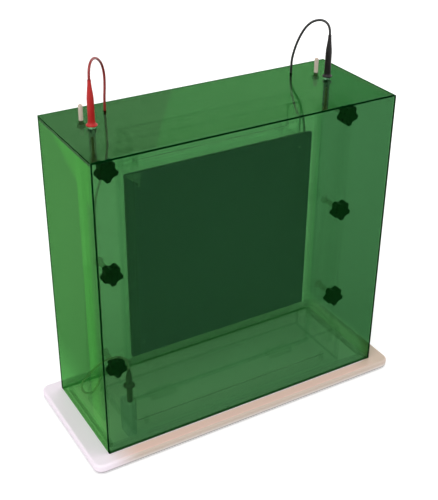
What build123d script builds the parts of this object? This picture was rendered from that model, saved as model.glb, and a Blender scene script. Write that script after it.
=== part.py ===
from build123d import *
import os
from math import pi, radians, tan

# Vertical gel rig under a lift-off safety cover. Millimetres, front towards -Y.
# Origin: centre of the footprint, at the underside of the feet.

# Base board and feet
base_margin_x = 30
base_margin_y = 20
base_thickness = 15
base_corner_radius = 14
base_edge_radius = 4
foot_radius = 12
foot_height = 3
foot_inset = 32

# Safety cover
cover_depth = 190
cover_wall = 6
cover_edge_chamfer = 0.6
cover_side_room = 19
cover_top_room = 40
strip_width = 6
strip_height = 8
strip_clearance = 1
strip_corner_gap = 2

# Gel plates and the stack behind and in front of them
glass_width = 350
glass_height = 430
glass_thickness = 5
glass_side_clearance = 1
glass_lift = 13
spacer_thickness = 0.8
spacer_width = 8
glass_edge_chamfer = 0.5
notch_depth = 16
notch_ear = 39
heat_plate_thickness = 5
heat_plate_width = 326
heat_plate_height = 320
heat_plate_bottom = 95
heat_plate_corner = 2
heat_screw_radius = 2
heat_screw_head = 4.2
heat_screw_inset = 22
heat_screw_tip_depth = 1
heat_screw_chamfer = 0.8
support_thickness = 7
support_bottom = 78
support_top_margin = 22

# Side clamps
clamp_reach = 50
clamp_overlap = 17
clamp_bar_thickness = 8
clamp_bar_end = 18
clamp_bar_corner = 3
clamp_bar_chamfer = 1
pad_thickness = 2
pad_width = 14
pad_inset = 1
pad_end_gap = 2
screw_radius = 4
screw_head_radius = 7.5
screw_head_height = 3.5
screw_offset = 30.5
screw_hole_clearance = 0.5
screw_lowest = 112
screw_pitch = 167
screw_tip_gap = 1
screw_tip_chamfer = 0.8
rail_recess = 0.5
knob_radius = 16.5
knob_lobes = 5
knob_scallop_radius = 7
knob_scallop_offset = 2.8
knob_lobe_rounding = 4
knob_front_chamfer = 2.2
knob_back_chamfer = 1
knob_hub_radius = 8
knob_hub_height = 3.7
knob_head_height = 16
knob_bore_depth = 15
knob_running = 0.05
knob_gap = 0.3

# Stands that hold the support plate upright
stand_thickness = 10
stand_foot_front = -20
stand_foot_back = 42
stand_foot_height = 25
stand_top = 268
stand_top_back = 22
stand_corner = 5

# Lower buffer tray
tray_wall = 6
tray_side_room = 22
tray_front_gap = 14
tray_back = 55
tray_height = 70
rest_block_width = 44
rest_block_spacing = 230
rest_block_margin = 4
rest_groove_depth = 2
rest_groove_clearance = 0.3

# Upper buffer chamber
chamber_width = 300
chamber_wall = 6
chamber_depth = 34
chamber_floor = 400
window_height = 16
window_side = 10
window_bottom = 421
gasket_side = 8
gasket_bottom = 5

# Electrodes
wire_radius = 0.5
wire_hole_clearance = 0.1
post_radius = 4
post_height = 14
post_wire_drop = 4
post_chamfer = 0.8
lower_wire_from_wall = 7
lower_wire_exit = 61
lower_post_from_end = 27
upper_wire_from_plate = 25
upper_wire_exit = 452
upper_post_from_end = 22
wire_bend = 3
riser_gap = 4
lead_radius = 1.5
lead_bend = 10

# Terminals and plugs
pin_radius = 2
pin_height = 20
pin_tip_chamfer = 0.7
plug_seat_gap = 0.3
sheath_radius = 4.5
sheath_length = 30
sheath_running = 0.05
contact_depth = 24
lower_pin_past_tray = 5
lower_pin_from_front = 1
upper_pin_from_end = 37
upper_pin_past_chamber = 1
terminal_overhang = 10
terminal_wire_margin = 5
lower_terminal_corner = 3
upper_terminal_corner = 5
lower_terminal_top = 70
lower_terminal_height = 60
upper_terminal_top = 300
upper_terminal_height = 18
upper_terminal_width = 43
lead_from_pin = 23
top_plug_x = 200.5
top_plug_y = 15
socket_wall = 1
socket_rise = 4
socket_length = 58
socket_plug_thickness = 6
socket_pin_height = 40
supply_post_x = 202.5
supply_post_y = 48
supply_post_radius = 3.25
supply_post_chamfer = 0.6
supply_post_height = 23
supply_bore_radius = 2.05
supply_bore_depth = 20
supply_nut_height = 5
supply_nut_across = 11

# Boots of the plugs
boot_collar = 1.2
boot_shaft_radius = 5
boot_tip_wall = 0.7
top_boot_height = 66
top_boot_shaft = 36
red_skirt_radius = 8.2
red_skirt_height = 11
black_skirt_radius = 7.6
black_skirt_height = 6
inner_boot_height = 30
inner_boot_shaft = 14
inner_skirt_radius = 9
inner_skirt_height = 6

# Leads; heights in the routes are above the base board
cord_radius = 1.9
cord_hole_clearance = 0.2
least_bends = 3
red_hole = (-158, 65)
black_hole = (166, 65)

# Levels
deck = foot_height + base_thickness
glass_bottom = deck + glass_lift
glass_top = glass_bottom + glass_height
top_inside = glass_top + cover_top_room
top_outside = top_inside + cover_wall
window_floor = deck + window_bottom
chamber_bottom = deck + chamber_floor
support_top = glass_top + support_top_margin
heat_bottom = deck + heat_plate_bottom

# Half widths
rail_inner = glass_width / 2 + glass_side_clearance
works_half = glass_width / 2 + clamp_reach
inside_half = works_half + cover_side_room
cover_half = inside_half + cover_wall
screw_x = glass_width / 2 + screw_offset
tray_half = glass_width / 2 + tray_side_room
window_half = chamber_width / 2 - window_side
chamber_half = chamber_width / 2
depth_half = cover_depth / 2
inside_depth = depth_half - cover_wall
wall_hole = wire_radius + wire_hole_clearance

# The stack along Y, from the support plate's front face towards the front
heat_front = -heat_plate_thickness
rear_glass_front = heat_front - glass_thickness
spacer_front = rear_glass_front - spacer_thickness
front_glass_front = spacer_front - glass_thickness
pad_front = front_glass_front - pad_thickness
bar_front = pad_front - clamp_bar_thickness
knob_back = bar_front - knob_gap
rail_front = front_glass_front + rail_recess
screw_tip = knob_back - knob_bore_depth + screw_tip_gap

rows = ("bottom", "middle", "top")
screw_heights = [deck + screw_lowest + number * screw_pitch for number in range(len(rows))]
bar_bottom = screw_heights[0] - clamp_bar_end
bar_top = screw_heights[-1] + clamp_bar_end
tray_front = -inside_depth + tray_front_gap
tray_front_back = tray_front + tray_wall
chamber_back = support_thickness + chamber_depth
lower_wire_y = tray_front_back + lower_wire_from_wall
lower_post_x = tray_half - lower_post_from_end
upper_wire_y = support_thickness + upper_wire_from_plate
upper_post_x = chamber_half - upper_post_from_end
lower_pin = (-tray_half - lower_pin_past_tray, tray_front + lower_pin_from_front)
upper_pin = (works_half - upper_pin_from_end, chamber_back + chamber_wall + upper_pin_past_chamber)
sides = (("left", -1), ("right", 1))

os.makedirs("parts", exist_ok=True)


def finish(piece, name):
    piece.part.label = name
    export_step(piece.part, f"parts/{name}.step")


def facing(y):
    """Plane at depth y whose normal points to the front, local x to the right and local y up."""
    return Plane.XZ.offset(-y)


def panel(x, y, z):
    """Flat sheet or bar between two limits along each axis."""
    with BuildPart() as sheet:
        with BuildSketch(Plane.XY.offset(min(z))):
            with Locations((sum(x) / 2, sum(y) / 2)):
                Rectangle(abs(x[1] - x[0]), abs(y[1] - y[0]))
        extrude(amount=abs(z[1] - z[0]))
    return sheet


def mirrored(side, *limits):
    """Limits along X on the left (side -1) or on the right (side 1)."""
    return sorted(side * limit for limit in limits)


# Base board: a slab with round corners and a rolled edge
base_half_x = cover_half + base_margin_x
base_half_y = depth_half + base_margin_y
with BuildPart() as base_board:
    with BuildSketch(Plane.XY.offset(foot_height)):
        RectangleRounded(2 * base_half_x, 2 * base_half_y, base_corner_radius)
    extrude(amount=base_thickness)
    fillet(base_board.faces().filter_by(Axis.Z).edges(), base_edge_radius)
finish(base_board, "base_board")

with BuildPart() as rubber_feet:
    with BuildSketch():
        with GridLocations(2 * (base_half_x - foot_inset), 2 * (base_half_y - foot_inset), 2, 2):
            Circle(foot_radius)
    extrude(amount=foot_height)
    chamfer(rubber_feet.faces().sort_by(Axis.Z)[0:4].edges(), foot_height / 4)
finish(rubber_feet, "rubber_feet")

# Strips on the base that keep the cover in place, just inside its walls
strip_outer_x = inside_half - strip_clearance
strip_outer_y = inside_depth - strip_clearance
side_strip_half = strip_outer_y - strip_width - strip_corner_gap
with BuildPart() as cover_locating_strips:
    with BuildSketch(Plane.XY.offset(deck)):
        with GridLocations(0, 2 * strip_outer_y - strip_width, 1, 2):
            Rectangle(2 * strip_outer_x, strip_width)
        with GridLocations(2 * strip_outer_x - strip_width, 0, 2, 1):
            Rectangle(strip_width, 2 * side_strip_half)
    extrude(amount=strip_height)
finish(cover_locating_strips, "cover_locating_strips")

# Cover: the front and back sheets overlap the sides and the top
for name, y in (("front", (-depth_half, -inside_depth)), ("back", (inside_depth, depth_half))):
    with BuildPart() as cover_face:
        add(panel((-cover_half, cover_half), y, (deck, top_outside)).part)
        outer = cover_face.faces().sort_by(Axis.Y)[0 if name == "front" else -1]
        chamfer(outer.edges(), cover_edge_chamfer)
    finish(cover_face, f"cover_{name}")

for name, side in sides:
    wall = panel(mirrored(side, inside_half, cover_half), (-inside_depth, inside_depth), (deck, top_inside))
    finish(wall, f"cover_{name}")

socket_radius = sheath_radius + sheath_running + socket_wall
cord_hole_radius = cord_radius + cord_hole_clearance
with BuildPart() as cover_top:
    with BuildSketch(Plane.XY.offset(top_inside)):
        Rectangle(2 * cover_half, 2 * inside_depth)
        with Locations((-top_plug_x, top_plug_y), (top_plug_x, top_plug_y)):
            Circle(socket_radius, mode=Mode.SUBTRACT)
        with Locations((-supply_post_x, supply_post_y), (supply_post_x, supply_post_y)):
            Circle(supply_post_radius, mode=Mode.SUBTRACT)
        with Locations(red_hole, black_hole):
            Circle(cord_hole_radius, mode=Mode.SUBTRACT)
    extrude(amount=cover_wall)
finish(cover_top, "cover_top")

# Clear sleeves through the cover's top that take the plugs, each with a pin in a closed lower end
plug_seat = top_outside + socket_rise
socket_bottom = plug_seat - socket_length
with BuildPart() as socket_sleeves:
    with BuildSketch(Plane.XY.offset(socket_bottom)):
        with Locations((-top_plug_x, top_plug_y), (top_plug_x, top_plug_y)):
            Circle(socket_radius)
            Circle(sheath_radius + sheath_running, mode=Mode.SUBTRACT)
    extrude(amount=socket_length)
finish(socket_sleeves, "socket_sleeves")

with BuildPart() as socket_pins:
    for name, side in sides:
        with BuildSketch(Plane.XY.offset(socket_bottom)):
            with Locations((side * top_plug_x, top_plug_y)):
                Circle(sheath_radius + sheath_running)
        extrude(amount=socket_plug_thickness)
        with BuildSketch(Plane.XY.offset(socket_bottom + socket_plug_thickness)):
            with Locations((side * top_plug_x, top_plug_y)):
                Circle(pin_radius)
        extrude(amount=socket_pin_height - socket_plug_thickness)
    chamfer(socket_pins.faces().filter_by(Axis.Z).group_by(Axis.Z)[-1].edges(), pin_tip_chamfer)
finish(socket_pins, "socket_pins")

# White posts that take the power supply's plugs, clamped by a nut under the cover's top
for name, side in sides:
    spot = (side * supply_post_x, supply_post_y)
    with BuildPart() as post:
        with BuildSketch(Plane.XY.offset(top_inside - supply_nut_height)):
            with Locations(spot):
                Circle(supply_post_radius)
        extrude(amount=supply_nut_height + cover_wall + supply_post_height)
        chamfer(post.faces().sort_by(Axis.Z)[-1].edges(), supply_post_chamfer)
        with BuildSketch(Plane.XY.offset(top_outside + supply_post_height)):
            with Locations(spot):
                Circle(supply_bore_radius)
        extrude(amount=-supply_bore_depth, mode=Mode.SUBTRACT)
    finish(post, f"{name}_supply_post")

with BuildPart() as post_nuts:
    with BuildSketch(Plane.XY.offset(top_inside - supply_nut_height)):
        with Locations((-supply_post_x, supply_post_y), (supply_post_x, supply_post_y)):
            RegularPolygon(supply_nut_across / 2, 6, major_radius=False)
            Circle(supply_post_radius, mode=Mode.SUBTRACT)
    extrude(amount=supply_nut_height)
finish(post_nuts, "supply_post_nuts")

# Lower buffer tray: five glued sheets
tray_floor_top = deck + tray_wall
tray_top = deck + tray_height
finish(panel((-tray_half, tray_half), (tray_front, tray_back), (deck, tray_floor_top)), "lower_tray_floor")
tray_levels = (tray_floor_top, tray_top)
finish(panel((-tray_half, tray_half), (tray_front, tray_front_back), tray_levels), "lower_tray_front")
finish(panel((-tray_half, tray_half), (tray_back - tray_wall, tray_back), tray_levels), "lower_tray_back")
for name, side in sides:
    with BuildPart() as tray_side:
        side_x = mirrored(side, tray_half - tray_wall, tray_half)
        add(panel(side_x, (tray_front_back, tray_back - tray_wall), tray_levels).part)
        if name == "left":
            with BuildSketch(Plane.YZ.offset(-tray_half)):
                with Locations((lower_wire_y, deck + lower_wire_exit)):
                    Circle(wall_hole)
            extrude(amount=tray_wall, mode=Mode.SUBTRACT)
    finish(tray_side, f"lower_tray_{name}")

# Blocks on the tray's floor with a groove that the two glass plates stand in
block_front = front_glass_front - rest_block_margin
block_back = heat_front + rest_block_margin
groove_front = front_glass_front - rest_groove_clearance
groove_back = heat_front + rest_groove_clearance
with BuildPart() as gel_rest_blocks:
    with BuildSketch(Plane.XY.offset(tray_floor_top)):
        with Locations((0, (block_front + block_back) / 2)):
            with GridLocations(rest_block_spacing, 0, 2, 1):
                Rectangle(rest_block_width, block_back - block_front)
    extrude(amount=glass_bottom + rest_groove_depth - tray_floor_top)
    with BuildSketch(Plane.XY.offset(glass_bottom)):
        with Locations((0, (groove_front + groove_back) / 2)):
            with GridLocations(rest_block_spacing, 0, 2, 1):
                Rectangle(rest_block_width, groove_back - groove_front)
    extrude(amount=rest_groove_depth, mode=Mode.SUBTRACT)
finish(gel_rest_blocks, "gel_rest_blocks")

# Support plate, with the window through which the upper buffer reaches the gel
plate_middle = (deck + support_bottom + support_top) / 2
heat_centre = heat_bottom + heat_plate_height / 2
screw_grid = (heat_plate_width - 2 * heat_screw_inset, heat_plate_height - 2 * heat_screw_inset)
with BuildPart() as support_plate:
    with BuildSketch(facing(support_thickness)):
        with Locations((0, plate_middle)):
            Rectangle(2 * works_half, support_top - deck - support_bottom)
        with Locations((0, window_floor + window_height / 2)):
            Rectangle(2 * window_half, window_height, mode=Mode.SUBTRACT)
        for height in screw_heights:
            with Locations((-screw_x, height), (screw_x, height)):
                Circle(screw_radius, mode=Mode.SUBTRACT)
        with Locations((0, heat_centre)):
            with GridLocations(*screw_grid, 2, 2):
                Circle(heat_screw_radius, mode=Mode.SUBTRACT)
    extrude(amount=support_thickness)
    for height in screw_heights:
        with BuildSketch(facing(support_thickness)):
            with Locations((-screw_x, height), (screw_x, height)):
                Circle(screw_head_radius)
        extrude(amount=screw_head_height, taper=45, mode=Mode.SUBTRACT)
finish(support_plate, "support_plate")

# Upright stands: a long foot on the base and a post up the support plate's back
for name, side in sides:
    stand_x = side * works_half
    with BuildPart() as stand:
        with BuildSketch(Plane.YZ.offset(stand_x)):
            with BuildLine():
                Polyline(
                    (stand_foot_front, deck),
                    (stand_foot_back, deck),
                    (stand_foot_back, deck + stand_foot_height),
                    (stand_top_back, deck + stand_top),
                    (support_thickness, deck + stand_top),
                    (support_thickness, deck + support_bottom),
                    (stand_foot_front, deck + support_bottom),
                    close=True,
                )
            make_face()
        extrude(amount=-side * stand_thickness)
        corners = stand.edges().filter_by(Axis.X).sort_by(Axis.Y)
        fillet([corners[0], corners[-1]], stand_corner)
    finish(stand, f"{name}_stand")

# Dark heat-spreading plate and the screws that hold it to the support plate
with BuildPart() as heat_plate:
    with BuildSketch(facing(0)):
        with Locations((0, heat_centre)):
            RectangleRounded(heat_plate_width, heat_plate_height, heat_plate_corner)
            with GridLocations(*screw_grid, 2, 2):
                Circle(heat_screw_radius, mode=Mode.SUBTRACT)
    extrude(amount=heat_plate_thickness)
finish(heat_plate, "heat_plate")

with BuildPart() as heat_plate_screws:
    with BuildSketch(facing(support_thickness)):
        with Locations((0, heat_centre)):
            with GridLocations(*screw_grid, 2, 2):
                Circle(heat_screw_radius)
    extrude(amount=support_thickness + heat_plate_thickness - heat_screw_tip_depth)
    with BuildSketch(facing(support_thickness)):
        with Locations((0, heat_centre)):
            with GridLocations(*screw_grid, 2, 2):
                Circle(heat_screw_head)
    extrude(amount=-heat_screw_head / 2)
    chamfer(heat_plate_screws.faces().group_by(Axis.Y)[-1].edges(), heat_screw_chamfer)
finish(heat_plate_screws, "heat_plate_screws")

# Gel plates: a notched rear glass, two thin side spacers and a plain front glass
glass_centre = glass_bottom + glass_height / 2
with BuildPart() as rear_glass:
    with BuildSketch(facing(heat_front)):
        with Locations((0, glass_centre)):
            Rectangle(glass_width, glass_height)
        with Locations((0, glass_top - notch_depth / 2)):
            Rectangle(glass_width - 2 * notch_ear, notch_depth, mode=Mode.SUBTRACT)
    extrude(amount=glass_thickness)
finish(rear_glass, "rear_glass")

with BuildPart() as gel_spacers:
    with BuildSketch(facing(rear_glass_front)):
        with Locations((0, glass_centre)):
            with GridLocations(glass_width - spacer_width, 0, 2, 1):
                Rectangle(spacer_width, glass_height)
    extrude(amount=spacer_thickness)
finish(gel_spacers, "gel_spacers")

with BuildPart() as front_glass:
    with BuildSketch(facing(spacer_front)):
        with Locations((0, glass_centre)):
            Rectangle(glass_width, glass_height)
    extrude(amount=glass_thickness)
    chamfer(front_glass.faces().sort_by(Axis.Y)[0].edges(), glass_edge_chamfer)
finish(front_glass, "front_glass")

# Gasket: a U of foam round the window, between the support plate and the rear glass
gasket_floor = window_floor - gasket_bottom
with BuildPart() as chamber_gasket:
    with BuildSketch(facing(0)):
        with Locations((0, (gasket_floor + glass_top) / 2)):
            Rectangle(2 * (window_half + gasket_side), glass_top - gasket_floor)
        with Locations((0, (window_floor + glass_top) / 2)):
            Rectangle(2 * window_half, glass_top - window_floor, mode=Mode.SUBTRACT)
    extrude(amount=heat_plate_thickness)
finish(chamber_gasket, "chamber_gasket")

# Upper buffer chamber: four sheets glued to the back of the support plate
chamber_floor_top = chamber_bottom + chamber_wall
chamber_levels = (chamber_floor_top, support_top)
chamber_span = (-chamber_half, chamber_half)
chamber_floor_y = (support_thickness, chamber_back + chamber_wall)
finish(panel(chamber_span, chamber_floor_y, (chamber_bottom, chamber_floor_top)), "upper_chamber_floor")
chamber_back_y = (chamber_back, chamber_back + chamber_wall)
finish(panel(chamber_span, chamber_back_y, chamber_levels), "upper_chamber_back")
for name, side in sides:
    with BuildPart() as chamber_side:
        side_x = mirrored(side, chamber_half - chamber_wall, chamber_half)
        add(panel(side_x, (support_thickness, chamber_back), chamber_levels).part)
        if name == "right":
            with BuildSketch(Plane.YZ.offset(chamber_half)):
                with Locations((upper_wire_y, deck + upper_wire_exit)):
                    Circle(wall_hole)
            extrude(amount=-chamber_wall, mode=Mode.SUBTRACT)
    finish(chamber_side, f"upper_chamber_{name}")


# Electrodes: a bare wire through two posts, up beside the wall and out through it
post_rows = (
    (lower_post_x, lower_wire_y, tray_floor_top),
    (upper_post_x, upper_wire_y, chamber_floor_top),
)
with BuildPart() as electrode_posts:
    for x, y, floor in post_rows:
        with BuildSketch(Plane.XY.offset(floor)):
            with Locations((-x, y), (x, y)):
                Circle(post_radius)
        extrude(amount=post_height)
        chamfer(electrode_posts.faces().group_by(Axis.Z)[-1].edges(), post_chamfer)
        with BuildSketch(Plane.YZ.offset(-x - post_radius)):
            with Locations((y, floor + post_height - post_wire_drop)):
                Circle(wall_hole)
        extrude(amount=2 * (x + post_radius), mode=Mode.SUBTRACT)
finish(electrode_posts, "electrode_posts")


def tube(points, radius, bends):
    """Round tube along straight runs joined by arcs."""
    with BuildPart() as run:
        with BuildLine() as path:
            FilletPolyline(*points, radius=bends)
        start = path.line @ 0
        with BuildSketch(Plane(origin=start, z_dir=path.line % 0)):
            Circle(radius)
        sweep(path=path.line)
    return run


lower_wire_z = tray_floor_top + post_height - post_wire_drop
lower_riser_x = tray_half - tray_wall - riser_gap
lower_wire_end = tray_half + riser_gap
lower_wire = tube(
    [
        (lower_post_x + post_radius, lower_wire_y, lower_wire_z),
        (-lower_riser_x, lower_wire_y, lower_wire_z),
        (-lower_riser_x, lower_wire_y, deck + lower_wire_exit),
        (-lower_wire_end, lower_wire_y, deck + lower_wire_exit),
    ],
    wire_radius,
    wire_bend,
)
finish(lower_wire, "lower_electrode_wire")

upper_wire_z = chamber_floor_top + post_height - post_wire_drop
upper_riser_x = chamber_half - chamber_wall - riser_gap
upper_wire = tube(
    [
        (-upper_post_x - post_radius, upper_wire_y, upper_wire_z),
        (upper_riser_x, upper_wire_y, upper_wire_z),
        (upper_riser_x, upper_wire_y, deck + upper_wire_exit),
        (chamber_half, upper_wire_y, deck + upper_wire_exit),
    ],
    wire_radius,
    wire_bend,
)
finish(upper_wire, "upper_electrode_wire")

# Terminals: a block with a pin that points up into the lead's plug
lower_block_x = (lower_pin[0] - terminal_overhang, -tray_half)
lower_block_y = (lower_pin[1] - terminal_overhang, lower_wire_y + terminal_wire_margin)
lower_block_top = deck + lower_terminal_top
upper_block_x = (upper_pin[0] + terminal_overhang - upper_terminal_width, upper_pin[0] + terminal_overhang)
upper_block_y = (support_thickness, upper_pin[1] + terminal_overhang)
upper_block_top = deck + upper_terminal_top
with BuildPart() as lower_terminal_block:
    lower_block_levels = (lower_block_top - lower_terminal_height, lower_block_top)
    add(panel(lower_block_x, lower_block_y, lower_block_levels).part)
    fillet(lower_terminal_block.edges().filter_by(Axis.Z).group_by(Axis.X)[0], lower_terminal_corner)
    with BuildSketch(Plane.YZ.offset(-lower_wire_end)):
        with Locations((lower_wire_y, deck + lower_wire_exit)):
            Circle(wall_hole)
    extrude(amount=riser_gap, mode=Mode.SUBTRACT)
finish(lower_terminal_block, "lower_terminal_block")

with BuildPart() as upper_terminal_block:
    upper_block_levels = (upper_block_top - upper_terminal_height, upper_block_top)
    add(panel(upper_block_x, upper_block_y, upper_block_levels).part)
    fillet(upper_terminal_block.edges().filter_by(Axis.Z).group_by(Axis.Y)[-1], upper_terminal_corner)
finish(upper_terminal_block, "upper_terminal_block")

with BuildPart() as terminal_pins:
    for (x, y), level in ((lower_pin, lower_block_top), (upper_pin, upper_block_top)):
        with BuildSketch(Plane.XY.offset(level)):
            with Locations((x, y)):
                Circle(pin_radius)
        extrude(amount=pin_height)
        chamfer(terminal_pins.faces().filter_by(Axis.Z).sort_by(Axis.Z)[-1].edges(), pin_tip_chamfer)
finish(terminal_pins, "terminal_pins")

# Insulated lead from the upper electrode to its terminal, held at both ends
lead_x = upper_pin[0] - lead_from_pin
upper_lead = tube(
    [
        (chamber_half, upper_wire_y, deck + upper_wire_exit),
        (lead_x, upper_wire_y, deck + upper_wire_exit),
        (lead_x, upper_wire_y, upper_block_top),
    ],
    lead_radius,
    lead_bend,
)
finish(upper_lead, "upper_terminal_lead")

# Clamp screws: flat heads sunk in the back of the support plate
with BuildPart() as clamp_screws:
    for height in screw_heights:
        with BuildSketch(facing(support_thickness)):
            with Locations((-screw_x, height), (screw_x, height)):
                Circle(screw_radius)
        extrude(amount=support_thickness - screw_tip)
        with BuildSketch(facing(support_thickness)):
            with Locations((-screw_x, height), (screw_x, height)):
                Circle(screw_head_radius)
        extrude(amount=screw_head_height, taper=45)
    chamfer(clamp_screws.faces().filter_by(Axis.Y).group_by(Axis.Y)[0].edges(), screw_tip_chamfer)
finish(clamp_screws, "clamp_screws")

# Side rails that keep the glass plates in line
rail_hole = screw_radius + screw_hole_clearance
for name, side in sides:
    with BuildPart() as rail:
        add(panel(mirrored(side, rail_inner, works_half), (rail_front, 0), (bar_bottom, bar_top)).part)
        with BuildSketch(facing(0)):
            for height in screw_heights:
                with Locations((side * screw_x, height)):
                    Circle(rail_hole)
        extrude(amount=-rail_front, mode=Mode.SUBTRACT)
    finish(rail, f"{name}_side_rail")

# Clamp bars over the glass edges, with a rubber pad on the back
bar_inner = glass_width / 2 - clamp_overlap
for name, side in sides:
    with BuildPart() as bar:
        add(panel(mirrored(side, bar_inner, works_half), (bar_front, pad_front), (bar_bottom, bar_top)).part)
        fillet(bar.edges().filter_by(Axis.Y), clamp_bar_corner)
        with BuildSketch(facing(pad_front)):
            for height in screw_heights:
                with Locations((side * screw_x, height)):
                    Circle(rail_hole)
        extrude(amount=clamp_bar_thickness, mode=Mode.SUBTRACT)
        chamfer(bar.faces().sort_by(Axis.Y)[0].outer_wire().edges(), clamp_bar_chamfer)
    finish(bar, f"{name}_clamp_bar")
    pad_x = mirrored(side, bar_inner + pad_inset, bar_inner + pad_inset + pad_width)
    pad = panel(pad_x, (pad_front, front_glass_front), (bar_bottom + pad_end_gap, bar_top - pad_end_gap))
    finish(pad, f"{name}_clamp_pad")

# Star knobs: a disc scalloped into five round lobes, on a hub that is hollow for the screw's end
head_back = knob_back - knob_hub_height
for name, side in sides:
    for row, height in zip(rows, screw_heights):
        with BuildPart() as knob:
            with BuildSketch(facing(head_back)):
                with Locations((side * screw_x, height)):
                    Circle(knob_radius)
                    with PolarLocations(knob_radius + knob_scallop_offset, knob_lobes, start_angle=90):
                        Circle(knob_scallop_radius, mode=Mode.SUBTRACT)
            extrude(amount=knob_head_height)
            fillet(knob.edges().filter_by(Axis.Y), knob_lobe_rounding)
            chamfer(knob.faces().sort_by(Axis.Y)[0].edges(), knob_front_chamfer)
            chamfer(knob.faces().sort_by(Axis.Y)[-1].edges(), knob_back_chamfer)
            with BuildSketch(facing(knob_back)):
                with Locations((side * screw_x, height)):
                    Circle(knob_hub_radius)
            extrude(amount=knob_hub_height)
            with BuildSketch(facing(knob_back)):
                with Locations((side * screw_x, height)):
                    Circle(screw_radius + knob_running)
            extrude(amount=knob_bore_depth, mode=Mode.SUBTRACT)
        finish(knob, f"{name}_{row}_knob")


# Plugs: a flared skirt, a boot that narrows to the cord and a hollow sheath below
def booted_plug(spot, seat, skirt_radius, skirt_height, shaft_height, boot_height):
    tip_radius = cord_radius + boot_tip_wall
    with BuildPart() as plug:
        with BuildSketch(Plane(origin=(*spot, seat), x_dir=(1, 0, 0), z_dir=(0, -1, 0))):
            with BuildLine():
                Polyline((0, boot_height), (0, 0), (skirt_radius, 0), (skirt_radius, boot_collar))
                Spline(
                    (skirt_radius, boot_collar),
                    (boot_shaft_radius, skirt_height),
                    tangents=((-1, 0.4), (0, 1)),
                )
                Line((boot_shaft_radius, skirt_height), (boot_shaft_radius, shaft_height))
                Spline(
                    (boot_shaft_radius, shaft_height),
                    (tip_radius, boot_height),
                    tangents=((0, 1), (0, 1)),
                )
                Line((tip_radius, boot_height), (0, boot_height))
            make_face()
        revolve(axis=Axis((*spot, 0), (0, 0, 1)))
        with BuildSketch(Plane.XY.offset(seat)):
            with Locations(spot):
                Circle(sheath_radius)
        extrude(amount=-sheath_length)
        with BuildSketch(Plane.XY.offset(seat - sheath_length)):
            with Locations(spot):
                Circle(pin_radius + sheath_running)
        extrude(amount=contact_depth, mode=Mode.SUBTRACT)
    return plug


red_socket = (-top_plug_x, top_plug_y)
black_socket = (top_plug_x, top_plug_y)
lower_seat = lower_block_top + plug_seat_gap + sheath_length
upper_seat = upper_block_top + plug_seat_gap + sheath_length
top_boot = (top_boot_shaft, top_boot_height)
inner_boot = (inner_skirt_radius, inner_skirt_height, inner_boot_shaft, inner_boot_height)
finish(booted_plug(red_socket, plug_seat, red_skirt_radius, red_skirt_height, *top_boot), "red_top_plug")
finish(booted_plug(black_socket, plug_seat, black_skirt_radius, black_skirt_height, *top_boot), "black_top_plug")
finish(booted_plug(lower_pin, lower_seat, *inner_boot), "red_inner_plug")
finish(booted_plug(upper_pin, upper_seat, *inner_boot), "black_inner_plug")


# Leads: each loops from its top plug to a hole in the cover and runs on to its inner plug
def over(start, end, profile):
    """Points at (share of the way along, height over the cover) above the line between two spots."""
    return [
        (start[0] + s * (end[0] - start[0]), start[1] + s * (end[1] - start[1]), top_outside + h)
        for s, h in profile
    ]


def above_deck(points):
    return [(x, y, deck + z) for x, y, z in points]


def cord(name, points):
    runs = [Vector(*b) - Vector(*a) for a, b in zip(points, points[1:])]
    bends = []
    for before, after in zip(runs, runs[1:]):
        shorter = min(before.length, after.length)
        bends.append(0.45 * shorter / tan(radians(before.get_angle(after)) / 2))
    piece = tube(points, cord_radius, bends)
    length = piece.part.volume / (pi * cord_radius**2)
    drawn = sum(run.length for run in runs)
    print(name, "radii", [round(bend, 1) for bend in bends], "least", round(min(bends), 1))
    print(name, "length by volume", round(length, 1), "and by points", round(drawn, 1))
    assert min(bends) > least_bends * 2 * cord_radius, name
    finish(piece, name)


red_loop = [(0, 70), (0, 83), (0.17, 92.5), (0.45, 91.5), (0.75, 82), (0.98, 69), (1.1, 52.5)]
red_loop += [(1.09, 35), (1, 16), (1, -cover_wall)]
black_loop = [(0, 70), (0, 83), (0.18, 92.5), (0.44, 89.5), (0.64, 79), (0.8, 62), (0.92, 42)]
black_loop += [(0.99, 24), (1, 12), (1, -cover_wall)]
cord("red_loop_cord", over(red_socket, red_hole, red_loop))
cord("black_loop_cord", over(black_socket, black_hole, black_loop))

red_inner_route = [
    (-158, 65, 483),
    (-158, 65, 456),
    (-157.5, 65, 425),
    (-163, 65, 398),
    (-173, 65.5, 375),
    (-181, 66, 350),
    (-184, 66, 318),
    (-184, 66, 250),
    (-183, 66, 170),
    (-184, 67, 95),
    (-184, 67.5, 52),
    (-187, 67, 27),
    (-195, 63, 11),
    (-206, 56.5, 4),
    (-217, 51.5, 4),
    (-227, 47.5, 11),
    (-234, 42, 25),
    (-238.5, 32, 43),
    (-240, 17, 63),
    (-240, -1, 84),
    (-240, -22, 107),
    (-238.5, -41, 129),
    (-234, -55, 145),
    (-224, -64, 154),
    (-210, -71, 155),
    (-202, -74, 145),
    (-202, -74, 130.3),
]
black_inner_route = [
    (166, 65, 483),
    (166, 65, 472),
    (172, 65.5, 459),
    (182, 66, 444),
    (190, 66, 427),
    (194, 64, 408),
    (192.5, 56, 390),
    (188, 48, 374),
    (188, 48, 360.3),
]
cord("red_inner_cord", above_deck(red_inner_route))
cord("black_inner_cord", above_deck(black_inner_route))
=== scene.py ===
import bpy
import numpy as np
from math import cos, pi, radians, sin
from mathutils import Matrix, Vector


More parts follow.
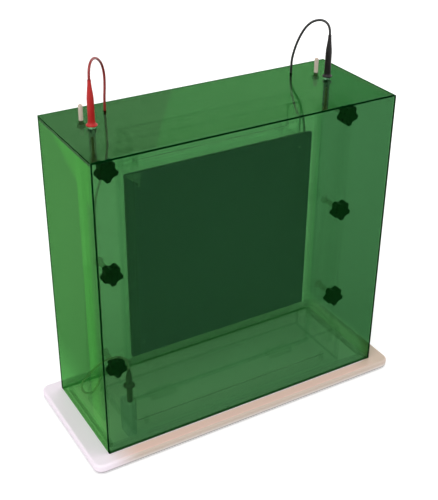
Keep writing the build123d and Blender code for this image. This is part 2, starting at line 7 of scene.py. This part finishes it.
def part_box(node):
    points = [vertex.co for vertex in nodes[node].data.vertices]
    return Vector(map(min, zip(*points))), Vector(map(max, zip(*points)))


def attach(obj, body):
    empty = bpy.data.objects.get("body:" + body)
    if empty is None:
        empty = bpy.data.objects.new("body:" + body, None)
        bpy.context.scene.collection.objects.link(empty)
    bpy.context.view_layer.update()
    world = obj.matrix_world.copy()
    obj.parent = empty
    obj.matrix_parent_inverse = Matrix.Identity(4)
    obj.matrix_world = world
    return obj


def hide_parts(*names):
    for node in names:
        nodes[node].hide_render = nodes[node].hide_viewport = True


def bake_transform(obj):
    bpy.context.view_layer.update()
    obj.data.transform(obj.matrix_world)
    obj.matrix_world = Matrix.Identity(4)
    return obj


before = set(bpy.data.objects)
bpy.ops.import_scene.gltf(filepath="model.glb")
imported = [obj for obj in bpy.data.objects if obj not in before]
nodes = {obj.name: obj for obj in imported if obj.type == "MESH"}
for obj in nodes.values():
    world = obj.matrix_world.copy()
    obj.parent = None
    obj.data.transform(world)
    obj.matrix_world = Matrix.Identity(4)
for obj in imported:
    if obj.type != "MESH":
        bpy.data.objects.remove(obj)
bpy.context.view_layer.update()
scene = bpy.context.scene
print("frame loaded,", len(nodes), "nodes")

# Camera

cameraSetup = {
    "place": (-0.6889, -1.1582, 1.0447),
    "azimuth": -30.665,
    "elevation": 30.183,
    "roll": 0.591,
    "lens": 70.42,
    "sensor": 36.0,
    "near": 0.05,
    "far": 30,
}


def makeCamera(setup):
    a, e, r = (radians(setup[k]) for k in ("azimuth", "elevation", "roll"))
    back = Vector((sin(a) * cos(e), -cos(a) * cos(e), sin(e)))
    right = Vector((0, 0, 1)).cross(back).normalized()
    up = back.cross(right)
    rolledRight = cos(r) * right + sin(r) * up
    rolledUp = -sin(r) * right + cos(r) * up
    turn = Matrix((rolledRight, rolledUp, back)).transposed()
    data = bpy.data.cameras.new("camera")
    data.lens = setup["lens"]
    data.sensor_width = setup["sensor"]
    data.clip_start, data.clip_end = setup["near"], setup["far"]
    camera = bpy.data.objects.new("camera", data)
    scene.collection.objects.link(camera)
    camera.matrix_world = Matrix.Translation(setup["place"]) @ turn.to_4x4()
    scene.camera = camera


makeCamera(cameraSetup)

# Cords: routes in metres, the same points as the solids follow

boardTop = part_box("base_board")[1].z
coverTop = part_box("cover_top")[1].z
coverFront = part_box("cover_front")[0].y
cordWidth = 0.0038
cordMesh = {
    "order": 3,
    "steps": 12,
    "sides": 20,
    "aside": (0.3, 0.9, 0.2),  # a direction that no cord starts along
}

# shape: share of the way from plug to hole, and height over the cover's top
loops = {
    "red": {
        "plug": (-0.2005, 0.015),
        "hole": (-0.158, 0.065),
        "shape": [
            (0, 0.070), (0, 0.083), (0.17, 0.0925), (0.45, 0.0915), (0.75, 0.082),
            (0.98, 0.069), (1.1, 0.0525), (1.09, 0.035), (1, 0.016), (1, -0.006),
        ],
        "length": 0.162,
    },
    "black": {
        "plug": (0.2005, 0.015),
        "hole": (0.166, 0.065),
        "shape": [
            (0, 0.070), (0, 0.083), (0.18, 0.0925), (0.44, 0.0895), (0.64, 0.079),
            (0.8, 0.062), (0.92, 0.042), (0.99, 0.024), (1, 0.012), (1, -0.006),
        ],
        "length": 0.146,
    },
}

# points: the last number is the height over the base board
innerCords = {
    "red": {
        "points": [
            (-0.158, 0.065, 0.483), (-0.158, 0.065, 0.456), (-0.1575, 0.065, 0.425),
            (-0.163, 0.065, 0.398), (-0.173, 0.0655, 0.375), (-0.181, 0.066, 0.350),
            (-0.184, 0.066, 0.318), (-0.184, 0.066, 0.250), (-0.183, 0.066, 0.170),
            (-0.184, 0.067, 0.095), (-0.184, 0.0675, 0.052), (-0.187, 0.067, 0.027),
            (-0.195, 0.063, 0.011), (-0.206, 0.0565, 0.004), (-0.217, 0.0515, 0.004),
            (-0.227, 0.0475, 0.011), (-0.234, 0.042, 0.025), (-0.2385, 0.032, 0.043),
            (-0.240, 0.017, 0.063), (-0.240, -0.001, 0.084), (-0.240, -0.022, 0.107),
            (-0.2385, -0.041, 0.129), (-0.234, -0.055, 0.145), (-0.224, -0.064, 0.154),
            (-0.210, -0.071, 0.155), (-0.202, -0.074, 0.145), (-0.202, -0.074, 0.1303),
        ],
        "length": 0.745,
    },
    "black": {
        "points": [
            (0.166, 0.065, 0.483), (0.166, 0.065, 0.472), (0.172, 0.0655, 0.459),
            (0.182, 0.066, 0.444), (0.190, 0.066, 0.427), (0.194, 0.064, 0.408),
            (0.1925, 0.056, 0.390), (0.188, 0.048, 0.374), (0.188, 0.048, 0.3603),
        ],
        "length": 0.132,
    },
}


def linePoints(name, points):
    # points along the route's smooth NURBS line; order and ends are set after the points
    curve = bpy.data.curves.new(name, "CURVE")
    curve.dimensions = "3D"
    curve.resolution_u = cordMesh["steps"]
    line = curve.splines.new("NURBS")
    line.points.add(len(points) - 1)
    line.points.foreach_set("co", np.c_[np.array(points), np.ones(len(points))].ravel())
    line.order_u = cordMesh["order"]
    line.use_endpoint_u = True
    guide = bpy.data.objects.new(name, curve)
    scene.collection.objects.link(guide)
    mesh = bpy.data.meshes.new_from_object(guide)
    found = np.zeros(len(mesh.vertices) * 3)
    mesh.vertices.foreach_get("co", found)
    bpy.data.meshes.remove(mesh)
    bpy.data.objects.remove(guide)
    return found.reshape(-1, 3)


def meshObject(name, points, faces, smooth=True):
    mesh = bpy.data.meshes.new(name)
    corners = np.asarray(points, float).reshape(-1, 3)
    mesh.from_pydata(corners.tolist(), [], [list(map(int, f)) for f in faces])
    mesh.validate()
    if smooth:
        mesh.shade_smooth()
    else:
        mesh.shade_flat()
    made = bpy.data.objects.new(name, mesh)
    scene.collection.objects.link(made)
    return made


def gridFaces(rows, columns):
    # quads of a grid that closes round its columns, and one flat face that closes each end
    i, j = np.meshgrid(np.arange(rows - 1), np.arange(columns), indexing="ij")
    k = (j + 1) % columns
    quads = np.stack([i * columns + j, i * columns + k, (i + 1) * columns + k, (i + 1) * columns + j], -1)
    caps = [np.arange(columns)[::-1], (rows - 1) * columns + np.arange(columns)]
    return [*quads.reshape(-1, 4), *caps]


def sweptTube(name, path, width):
    # a ring at each point of the path: point + radius * (normal * cos + side * sin);
    # each normal is the one before it, made square to the path again
    ahead = np.gradient(path, axis=0)
    ahead /= np.linalg.norm(ahead, axis=1)[:, None]
    normal = np.zeros_like(path)
    start = np.cross(ahead[0], cordMesh["aside"])
    normal[0] = start / np.linalg.norm(start)
    for n in range(1, len(path)):
        flat = normal[n - 1] - ahead[n] * (normal[n - 1] @ ahead[n])
        normal[n] = flat / np.linalg.norm(flat)
    side = np.cross(ahead, normal)
    turn = np.linspace(0, 2 * pi, cordMesh["sides"], endpoint=False)
    ring = normal[:, None] * np.cos(turn)[:, None] + side[:, None] * np.sin(turn)[:, None]
    return meshObject(name, path[:, None] + ring * width / 2, gridFaces(len(path), cordMesh["sides"]))


for colour, loop in loops.items():
    plug, hole = np.array(loop["plug"]), np.array(loop["hole"])
    route = [(*(plug + share * (hole - plug)), coverTop + height) for share, height in loop["shape"]]
    path = linePoints(f"{colour}LoopGuide", route)
    tube = sweptTube(f"{colour}_loop", path, cordWidth)
    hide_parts(f"{colour}_loop_cord")
    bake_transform(tube)

for colour, inner in innerCords.items():
    route = [(x, y, boardTop + z) for x, y, z in inner["points"]]
    path = linePoints(f"{colour}InnerGuide", route)
    lead = sweptTube(f"{colour}_inner_lead", path, cordWidth)
    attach(lead, "cover")
    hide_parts(f"{colour}_inner_cord")
print("cords laid:", len(loops), "loops and", len(innerCords), "inner leads")

# Shading helpers


class Value:  # a socket's value; arithmetic on it adds Math nodes
    def __init__(self, finish, socket):
        self.finish, self.socket = finish, socket

    def math(self, operation, *values):
        return self.finish.add("Math", {"operation": operation}, dict(enumerate(values)))

    def __add__(self, other):
        return self.math("ADD", self, other)

    def __radd__(self, other):
        return self.math("ADD", other, self)

    def __sub__(self, other):
        return self.math("SUBTRACT", self, other)

    def __rsub__(self, other):
        return self.math("SUBTRACT", other, self)

    def __mul__(self, other):
        return self.math("MULTIPLY", self, other)

    def __rmul__(self, other):
        return self.math("MULTIPLY", other, self)

    def __pow__(self, other):
        return self.math("POWER", self, other)

    def __rpow__(self, other):
        return self.math("POWER", other, self)

    def __gt__(self, other):
        return self.math("GREATER_THAN", self, other)

    def __lt__(self, other):
        return self.math("LESS_THAN", self, other)

    def __abs__(self):
        return self.math("ABSOLUTE", self)

    def held(self, low=0.0, high=1.0):
        return self.finish.add("Clamp", {}, {0: self, 1: low, 2: high})

    def between(self, low, high):  # 0 below low, 1 above high, smooth in the middle
        return self.finish.add("MapRange", {"interpolation_type": "SMOOTHSTEP"}, {0: self, 1: low, 2: high})


class Finish:  # one material being made
    def __init__(self, name):
        self.material = bpy.data.materials.new(name)
        self.material.use_nodes = True
        self.tree = self.material.node_tree
        self.tree.nodes.clear()
        self.output = self.tree.nodes.new("ShaderNodeOutputMaterial")

    def add(self, kind, settings, sockets, out=0):
        made = self.tree.nodes.new("ShaderNode" + kind)
        for key, value in settings.items():
            setattr(made, key, value)
        for key, value in sockets.items():
            if isinstance(value, Value):
                self.tree.links.new(value.socket, made.inputs[key])
            else:
                made.inputs[key].default_value = value
        return Value(self, made.outputs[out])

    def axes(self, vector):
        split = self.add("SeparateXYZ", {}, {0: vector})
        return [Value(self, split.socket.node.outputs[k]) for k in "XYZ"]

    def place(self):
        return self.axes(self.add("TexCoord", {}, {}, "Object"))

    def normal(self):
        return self.axes(self.add("TexCoord", {}, {}, "Normal"))

    def behind(self):  # 1 where a ray meets the back of a face
        return self.add("NewGeometry", {}, {}, "Backfacing")

    def noise(self, scale, detail=3.0, rough=0.5):
        place = self.add("TexCoord", {}, {}, "Object")
        sockets = {"Vector": place, "Scale": scale, "Detail": detail, "Roughness": rough}
        return self.add("TexNoise", {}, sockets)

    def mixed(self, share, first, second):  # colours
        return self.add("Mix", {"data_type": "RGBA"}, {0: share, 6: first, 7: second}, 2)

    def blended(self, share, first, second):  # shaders
        return self.add("MixShader", {}, {0: share, 1: first, 2: second})

    def bump(self, height, distance):
        return self.add("Bump", {}, {"Height": height, "Distance": distance})

    def clear(self, colour):
        return self.add("BsdfTransparent", {}, {"Color": colour})

    def shine(self, colour, rough):
        return self.add("BsdfGlossy", {}, {"Color": colour, "Roughness": rough})

    def fresnel(self, bend):
        return self.add("Fresnel", {}, {"IOR": bend})

    def surface(self, sockets):
        return self.add("BsdfPrincipled", {}, sockets)

    def done(self, shader):
        self.tree.links.new(shader.socket, self.output.inputs["Surface"])
        return self.material


def rgb(red, green, blue):  # a colour as it is read off a screen, made linear
    part = np.array((red, green, blue)) / 255
    linear = np.where(part <= 0.04045, part / 12.92, ((part + 0.055) / 1.055) ** 2.4)
    return (*linear.tolist(), 1.0)


def dress(material, *names):
    for name in names:
        piece = nodes[name] if name in nodes else bpy.data.objects[name]
        if piece.material_slots:
            for place in piece.material_slots:
                place.material = material
        else:
            piece.data.materials.append(material)


white = (1, 1, 1, 1)
faceOn = 0.9  # a face is square to an axis when that part of its normal is past this
endOn = 0.5  # the same for narrow ends, with the chamfers beside them
polish = 0.03  # roughness of polished acrylic and glass
softDetail = 4.0  # layers of noise in a soft cloud
fineDetail = 2.0  # and in a fine grain

# Tinted sheets of the cover: light that crosses the outer face takes the tint, a glued end vanishes
# and a free end is dark

# one green acrylic, with a tint set for each sheet to how bright that side looks under its light: partly
# painted light and shade
tinted = {
    "front": (0.252, 0.434, 0.270, 1),
    "back": (0.240, 0.435, 0.245, 1),
    "top": (0.190, 0.250, 0.184, 1),
    "left": (0.238, 0.367, 0.203, 1),
    "right": (0.149, 0.286, 0.174, 1),
    # painted light: paler tints laid over parts of the side sheets
    "glow": (0.265, 0.535, 0.208, 1),
    "low": (0.420, 0.780, 0.375, 1),
    "end": (0.0, 0.014, 0.002, 1),
    "foot": (0.042, 0.085, 0.052, 1),
    "endRough": 0.5,
    "shine": (0.06, 1.0, 0.12, 1),
    "gloss": 0.25,
    "bend": 1.49,
    "topEndDepth": 0.002,  # how far in from the outer face an end is dark
    "frontEndDepth": 0.0046,
    "footShare": 0.35,  # how dark an end is, where it isn't fully dark
    "backShare": 0.6,
    "backTopShare": 0.4,
}

# Painted light on the left sheet, by depth and height: a paler upright band, a paler wedge under the top as
# a painted reflection, and a paler foot
leftPaintedGlow = {
    "bandFrom": -0.082,
    "bandTo": -0.038,
    "bandRise": 0.02,
    "bandFall": 0.006,
    "wedgeCorner": 0.062,
    "wedgeSlope": 0.5,
    "wedgeBlend": (-0.006, 0.016),
    "wedgeShare": 0.8,
    "footHeight": 0.13,
    "footShare": 0.75,
    "footLine": 0.005,
}
# Painted light on the right sheet: a paler foot
rightPaintedGlow = {"footBlend": (0.014, 0.038), "footShare": 0.5}


def coverFinish(side, axis, outward, freeEnds=None, paintedLight=None):
    f = Finish(f"{side}Sheet")
    behind = f.behind()
    facing = 1 - behind * 2  # a normal seen from behind comes turned round
    normal = [part * facing for part in f.normal()]
    place = f.place()
    outer = normal[axis] * outward > faceOn
    tint = f.clear(tinted[side])
    # painted light: paler tints blended into parts of a side sheet
    if paintedLight:
        glow, low = paintedLight(place)
        tint = f.blended(glow, tint, f.clear(tinted["glow"]))
        tint = f.blended(low, tint, f.clear(tinted["low"]))
    through = f.clear(white)
    if freeEnds:
        free, dark, foot = freeEnds(normal, place)
        colour = f.mixed(foot, tinted["end"], tinted["foot"])
        body = f.surface({"Base Color": colour, "Roughness": tinted["endRough"], "Specular IOR Level": 0.0})
        through = f.blended(dark, f.blended(free, through, tint), body)
    through = f.blended(outer, through, tint)
    gloss = f.fresnel(tinted["bend"]) * (1 - behind) * outer * tinted["gloss"]
    return f.done(f.blended(gloss, through, f.shine(tinted["shine"], polish)))


# Painted light on a side sheet: its share of the glow tint and its share of the low tint


def leftPaintedLight(place):
    deep, high = place[1], place[2] - boardTop
    rise = (deep - leftPaintedGlow["bandFrom"]).between(0, leftPaintedGlow["bandRise"])
    band = rise * (leftPaintedGlow["bandTo"] - deep).between(0, leftPaintedGlow["bandFall"])
    under = place[2] - coverTop - (deep - leftPaintedGlow["wedgeCorner"]) * leftPaintedGlow["wedgeSlope"]
    wedge = under.between(*leftPaintedGlow["wedgeBlend"]) * leftPaintedGlow["wedgeShare"]
    share = leftPaintedGlow["footShare"]
    slow = high.between(0, leftPaintedGlow["footHeight"]) * share
    quick = high.between(0, leftPaintedGlow["footLine"]) * (1 - share)
    return (band + wedge).held(), (1 - slow - quick).held()


def rightPaintedLight(place):  # painted light: the foot is paler as high as the board's shaded margin shows through the sheet
    high = place[2] - boardTop
    return 0.0, (1 - high.between(*rightPaintedGlow["footBlend"])) * rightPaintedGlow["footShare"]


# What the ends of a sheet show: where they are free, how dark they are and which of them is the foot


def frontEnds(normal, place):
    foot = normal[2] < -endOn
    end = abs(normal[1]) < faceOn
    outer = place[1] - coverFront < tinted["frontEndDepth"]
    return end, end * outer * (1 - foot * (1 - tinted["footShare"])), foot


def backEnds(normal, place):
    dark = (normal[0] < -endOn) * tinted["backShare"] + (normal[2] > endOn) * tinted["backTopShare"]
    return abs(normal[1]) < faceOn, dark, 0.0


def topEnds(normal, place):
    end = abs(normal[0]) > endOn
    return end, end * (place[2] > coverTop - tinted["topEndDepth"]), 0.0


dress(coverFinish("front", 1, -1, frontEnds), "cover_front")
dress(coverFinish("back", 1, 1, backEnds), "cover_back")
dress(coverFinish("left", 0, -1, None, leftPaintedLight), "cover_left")
dress(coverFinish("right", 0, 1, None, rightPaintedLight), "cover_right")
dress(coverFinish("top", 2, 1, topEnds), "cover_top")

# Clear acrylic and glass inside the cover: faces that show nothing and sawn edges with a little body

clearSheet = {
    "face": (0.985, 0.990, 0.985, 1),
    "edge": (0.91, 0.95, 0.92, 1),
    "edgeBody": (0.75, 0.85, 0.80, 1),
    "edgeSolid": 0.04,
    "edgeRough": 0.3,
    "gloss": 0.3,
    "bend": 1.49,
}
smokedBlock = {
    "face": (0.94, 0.96, 0.97, 1),
    "edge": (0.86, 0.90, 0.92, 1),
    "edgeBody": (0.45, 0.55, 0.55, 1),
    "edgeSolid": 0.05,
    "edgeRough": 0.3,
    "gloss": 0.2,
    "bend": 1.49,
}
plateGlass = {
    "face": (0.98, 0.99, 0.985, 1),
    "edge": (0.88, 0.97, 0.92, 1),
    "edgeBody": (0.30, 0.60, 0.45, 1),
    "edgeSolid": 0.05,
    "edgeRough": 0.3,
    "gloss": 0.4,
    "bend": 1.52,
}

# For each finish: the axis that the sheet's faces look along, its look and its pieces
sheets = {
    "clearAcross": (1, clearSheet, [
        "lower_tray_front", "lower_tray_back", "upper_chamber_back", "support_plate",
        "left_clamp_bar", "right_clamp_bar", "left_side_rail", "right_side_rail",
    ]),
    "clearSide": (0, clearSheet, [
        "lower_tray_left", "lower_tray_right", "upper_chamber_left", "upper_chamber_right",
        "left_stand", "right_stand",
    ]),
    "clearFlat": (2, clearSheet, [
        "lower_tray_floor", "upper_chamber_floor", "cover_locating_strips",
        "upper_terminal_block", "gel_rest_blocks", "electrode_posts",
    ]),
    "smokedBlock": (2, smokedBlock, ["lower_terminal_block"]),
    "glass": (1, plateGlass, ["rear_glass", "front_glass"]),
}


def sheetFinish(name, axis, sheet):
    f = Finish(name)
    edge = abs(f.normal()[axis]) < faceOn
    colour, rough, bend = sheet["edgeBody"], sheet["edgeRough"], sheet["bend"]
    body = f.surface({"Base Color": colour, "Roughness": rough, "IOR": bend})
    sawn = f.blended(sheet["edgeSolid"], f.clear(sheet["edge"]), body)
    through = f.blended(edge, f.clear(sheet["face"]), sawn)
    gloss = f.fresnel(bend) * (1 - f.behind()) * sheet["gloss"]
    return f.done(f.blended(gloss, through, f.shine(white, polish)))


for name, (axis, sheet, pieces) in sheets.items():
    dress(sheetFinish(name, axis, sheet), *pieces)

sleeve = {"clear": (0.93, 0.95, 0.94, 1), "rough": 0.05, "rimBlend": 0.35, "gloss": 0.3}


def sleeveFinish(setup):
    f = Finish("clearSleeve")
    rim = f.add("LayerWeight", {}, {"Blend": setup["rimBlend"]}, "Facing")
    return f.done(f.blended(rim * setup["gloss"], f.clear(setup["clear"]), f.shine(white, setup["rough"])))


dress(sleeveFinish(sleeve), "socket_sleeves")

# Base board: white, with painted warm light on the margin in front and at the right and on the front edge,
# and a painted contact shadow as a grey line along its lower edge

board = {
    "top": rgb(255, 242, 253),
    "patch": rgb(252, 239, 250),
    "patchBlend": (0.35, 0.75),
    # painted warm light: the margins in front and at the right and the front edge are warm on a white
    # board, the edge darker at its top and lighter at its foot
    "warmLightMarginFront": rgb(247, 207, 197),
    "warmLightMarginRight": rgb(199, 177, 159),
    "marginBlend": (0.20, 0.262),
    "warmLightEdgeTop": rgb(206, 186, 172),
    "warmLightEdgeFoot": rgb(234, 228, 223),
    "edgeBlend": (0.004, 0.014),
    "edgeTurn": (0.01, 0.12),  # from flat margin to upright edge
    "frontFrom": -0.093,
    "frontBlend": 0.006,
    "frontLeft": (-0.265, -0.20),
    "rightCorner": (0.25, -0.095),  # the right margin's painted warm light ends along a slant through here
    "rightSlope": 1.69,
    "rightBlend": (-0.035, 0.004),
    # painted contact shadow: a grey line along the board's lower edge
    "rim": rgb(126, 123, 123),
    "contactShadowShare": 0.7,
    "rimBlend": (0.0055, 0.0085),
    "rough": 0.45,
    "roughSpread": 0.15,
    "cloud": (9.0, 5.0, 0.6),  # scale, detail and roughness of the noise
    "grain": 700.0,
    "grainDepth": 0.00005,
}


def boardFinish(setup):
    f = Finish("whiteBoard")
    cloud = f.noise(*setup["cloud"])
    upright = 1 - abs(f.normal()[2])
    across, deep, high = f.place()
    # painted warm light on the front and right margins and on the front edge
    warmLightFront = (setup["frontFrom"] - deep).between(0, setup["frontBlend"])
    warmLightFront = warmLightFront * across.between(*setup["frontLeft"])
    cornerAcross, cornerDeep = setup["rightCorner"]
    slant = (across - cornerAcross) * setup["rightSlope"] - (deep - cornerDeep)
    margin = f.mixed(across.between(*setup["marginBlend"]), setup["warmLightMarginFront"], setup["warmLightMarginRight"])
    edge = f.mixed(high.between(*setup["edgeBlend"]), setup["warmLightEdgeFoot"], setup["warmLightEdgeTop"])
    warmLight = f.mixed(upright.between(*setup["edgeTurn"]), margin, edge)
    colour = f.mixed(cloud.between(*setup["patchBlend"]), setup["top"], setup["patch"])
    colour = f.mixed((warmLightFront + slant.between(*setup["rightBlend"])).held(), colour, warmLight)
    # painted contact shadow: grey along the lower edge
    colour = f.mixed((1 - high.between(*setup["rimBlend"])) * setup["contactShadowShare"], colour, setup["rim"])
    return f.done(f.surface({
        "Base Color": colour,
        "Roughness": cloud * setup["roughSpread"] + setup["rough"],
        "Normal": f.bump(f.noise(setup["grain"], fineDetail), setup["grainDepth"]),
    }))


dress(boardFinish(board), "base_board")

# Plain materials: two colours in soft clouds, and a fine grain

usual = {
    "cloud": 60.0,
    "grain": 900.0,
    "depth": 0.00004,
    "roughSpread": 0.12,
    "leastRough": 0.03,
    "metallic": 0.0,
    "specular": 0.5,
}
plain = {
    "footRubber": {
        "colours": (rgb(45, 45, 45), rgb(60, 60, 60)), "rough": 0.8,
        "pieces": ["rubber_feet"],
    },
    "darkPlate": {
        "colours": (rgb(107, 107, 129), rgb(116, 116, 138)), "rough": 0.5,
        "grain": 1400.0, "depth": 0.00003,
        "pieces": ["heat_plate"],
    },
    "knobPlastic": {
        "colours": (rgb(6, 9, 6), rgb(11, 14, 11)), "rough": 0.5, "specular": 0.15,
        "pieces": [
            "left_bottom_knob", "left_middle_knob", "left_top_knob",
            "right_bottom_knob", "right_middle_knob", "right_top_knob",
        ],
    },
    "steel": {
        "colours": (rgb(190, 192, 195), rgb(170, 172, 176)), "rough": 0.3, "metallic": 1.0,
        "pieces": ["heat_plate_screws"],
    },
    # painted light: the nuts are near white, paler than nickel, so they don't show dark in the cover's
    # tinted light
    "nickelPaintedPale": {
        "colours": (rgb(244, 243, 240), rgb(236, 235, 231)), "rough": 0.5, "metallic": 0.1,
        "pieces": ["supply_post_nuts"],
    },
    "platinum": {
        "colours": (rgb(200, 198, 195), rgb(185, 183, 180)), "rough": 0.25, "metallic": 1.0,
        "pieces": ["lower_electrode_wire", "upper_electrode_wire"],
    },
    "contactMetal": {
        "colours": (rgb(236, 218, 178), rgb(222, 202, 160)), "rough": 0.35, "metallic": 0.5,
        "pieces": ["terminal_pins", "socket_pins"],
    },
    "whitePlastic": {
        "colours": (rgb(226, 208, 194), rgb(214, 196, 182)), "rough": 0.4,
        "pieces": ["left_supply_post", "right_supply_post"],
    },
    "redCord": {
        "colours": (rgb(150, 34, 32), rgb(132, 28, 26)), "rough": 0.42,
        "pieces": ["red_loop"],
    },
    "blackCord": {
        "colours": (rgb(34, 31, 32), rgb(26, 24, 25)), "rough": 0.42,
        "pieces": ["black_loop"],
    },
    "greyRed": {
        "colours": (rgb(120, 112, 112), rgb(110, 102, 102)), "rough": 0.55,
        "pieces": ["red_inner_plug"],
    },
    "blackInner": {
        "colours": (rgb(70, 66, 66), rgb(58, 54, 54)), "rough": 0.5,
        "pieces": ["black_inner_plug"],
    },
}


def plainSurface(f, setup):
    cloud = f.noise(setup["cloud"], softDetail)
    spread = setup["roughSpread"]
    return f.surface({
        "Base Color": f.mixed(cloud, *setup["colours"]),
        "Roughness": (cloud * spread + (setup["rough"] - spread / 2)).held(setup["leastRough"], 1),
        "Metallic": setup["metallic"],
        "Specular IOR Level": setup["specular"],
        "Normal": f.bump(f.noise(setup["grain"], fineDetail), setup["depth"]),
    })


def plainFinish(name, setup):
    f = Finish(name)
    return f.done(plainSurface(f, setup))


for name, setup in plain.items():
    dress(plainFinish(name, {**usual, **setup}), *setup["pieces"])

# Top plugs: a moulded boot, and below its skirt a clear sheath

boots = {
    "red": {"colours": (rgb(190, 36, 34), rgb(172, 28, 28)), "sheathBody": 0.02},
    "black": {"colours": (rgb(26, 19, 20), rgb(17, 13, 14)), "sheathBody": 0.03},
}
boot = {"rough": 0.4, "specular": 0.3}
sheath = {"clear": (0.94, 0.97, 0.96, 1), "top": 0.5105}


def bootFinish(name, setup):
    f = Finish(name)
    body = plainSurface(f, setup)
    below = f.blended(setup["sheathBody"], f.clear(sheath["clear"]), body)
    return f.done(f.blended(f.place()[2] > sheath["top"], below, body))


for colour, setup in boots.items():
    dress(bootFinish(f"{colour}Boot", {**usual, **boot, **setup}), f"{colour}_top_plug")

# Pieces inside that hardly show: milky plastics that let most of the light through

milky = {
    "pad": {"body": rgb(226, 230, 226), "share": 0.02, "pieces": ["left_clamp_pad", "right_clamp_pad"]},
    "gasket": {"body": rgb(222, 226, 222), "share": 0.08, "pieces": ["chamber_gasket"]},
    "spacer": {"body": rgb(236, 238, 234), "share": 0.03, "pieces": ["gel_spacers"]},
    "nylon": {"body": rgb(214, 210, 196), "share": 0.3, "pieces": ["clamp_screws"]},
    "redLead": {"body": rgb(200, 182, 174), "share": 0.4, "higher": -0.12, "pieces": ["red_inner_lead"]},
    "greyLead": {"body": rgb(120, 114, 114), "share": 0.5, "pieces": ["black_inner_lead"]},
    "paleLead": {"body": rgb(206, 204, 200), "share": 0.3, "pieces": ["upper_terminal_lead"]},
}
milk = {
    "clear": (0.97, 0.98, 0.97, 1),
    "cloud": 220.0,
    "spread": 0.2,
    "rough": 0.45,
    "higherBlend": (0.25, 0.42),
}


def milkyFinish(name, setup):
    f = Finish(f"{name}Milky")
    cloud = f.noise(milk["cloud"]) * milk["spread"]
    body = f.surface({"Base Color": setup["body"], "Roughness": cloud + milk["rough"]})
    share = cloud + (setup["share"] - milk["spread"] / 2)
    if "higher" in setup:  # what is added to the share under the cover's top
        share = share + f.place()[2].between(*milk["higherBlend"]) * setup["higher"]
    return f.done(f.blended(share.held(), f.clear(milk["clear"]), body))


for name, setup in milky.items():
    dress(milkyFinish(name, setup), *setup["pieces"])
print("finishes set")

# Floor, world and lamps

studio = {
    "floorSize": 12.0,
    "floorColour": (0.86, 0.86, 0.86, 1),
    "lift": 0.38,  # added to the floor's light where it is seen, and more of it far off
    "farLift": 0.2,
    "farBlend": (0.6, 3.0),
    "worldLight": 0.54,
    "aim": (0, 0, 0.25),
}
lamps = {
    "key": {"place": (-1.8, -1.0, 2.3), "size": 3.0, "power": 48},
    "fill": {"place": (2.3, -1.3, 1.8), "size": 3.0, "power": 25},
    "back": {"place": (2.2, 1.6, 1.9), "size": 3.0, "power": 22},
}
seenRays = ("Is Camera Ray", "Is Transmission Ray", "Is Glossy Ray")


def floorFinish(setup):
    f = Finish("paleFloor")
    seen = f.add("LightPath", {}, {}, seenRays[0])
    for ray in seenRays[1:]:
        seen = seen + f.add("LightPath", {}, {}, ray)
    across, deep, _ = f.place()
    away = (across * across + deep * deep) ** 0.5
    lift = away.between(*setup["farBlend"]) * setup["farLift"] + setup["lift"]
    glow = f.add("Emission", {}, {"Color": white, "Strength": seen.held() * lift})
    dull = f.add("BsdfDiffuse", {}, {"Color": setup["floorColour"]})
    return f.done(f.add("AddShader", {}, {0: dull, 1: glow}))


def makeFloor(setup):
    half = setup["floorSize"] / 2
    corners = [(-half, -half, 0), (half, -half, 0), (half, half, 0), (-half, half, 0)]
    floor = meshObject("floor", corners, [(0, 1, 2, 3)], smooth=False)
    floor.data.materials.append(floorFinish(setup))


def makeWorld(setup):  # white where it is seen, and the studio's own level as light
    world = bpy.data.worlds.new("studio")
    scene.world = world
    world.use_nodes = True
    tree = world.node_tree
    background = tree.nodes["Background"]
    path = tree.nodes.new("ShaderNodeLightPath")
    seen = path.outputs[seenRays[0]]
    for ray in seenRays[1:]:
        either = tree.nodes.new("ShaderNodeMath")
        either.operation = "MAXIMUM"
        tree.links.new(seen, either.inputs[0])
        tree.links.new(path.outputs[ray], either.inputs[1])
        seen = either.outputs[0]
    strength = tree.nodes.new("ShaderNodeMapRange")
    strength.inputs["To Min"].default_value = setup["worldLight"]
    strength.inputs["To Max"].default_value = 1.0
    tree.links.new(seen, strength.inputs["Value"])
    background.inputs["Color"].default_value = white
    tree.links.new(strength.outputs[0], background.inputs["Strength"])


def makeLamp(name, lamp):
    data = bpy.data.lights.new(name, "AREA")
    data.shape = "DISK"
    data.size = lamp["size"]
    data.energy = lamp["power"]
    light = bpy.data.objects.new(name, data)
    scene.collection.objects.link(light)
    light.location = lamp["place"]
    aim = Vector(studio["aim"]) - light.location
    light.rotation_euler = aim.to_track_quat("-Z", "Y").to_euler()


makeFloor(studio)
makeWorld(studio)
for name, lamp in lamps.items():
    makeLamp(name, lamp)

scene.view_settings.view_transform = "Standard"
scene.cycles.transparent_max_bounces = 32  # a ray crosses many clear sheets
print("floor and light set")
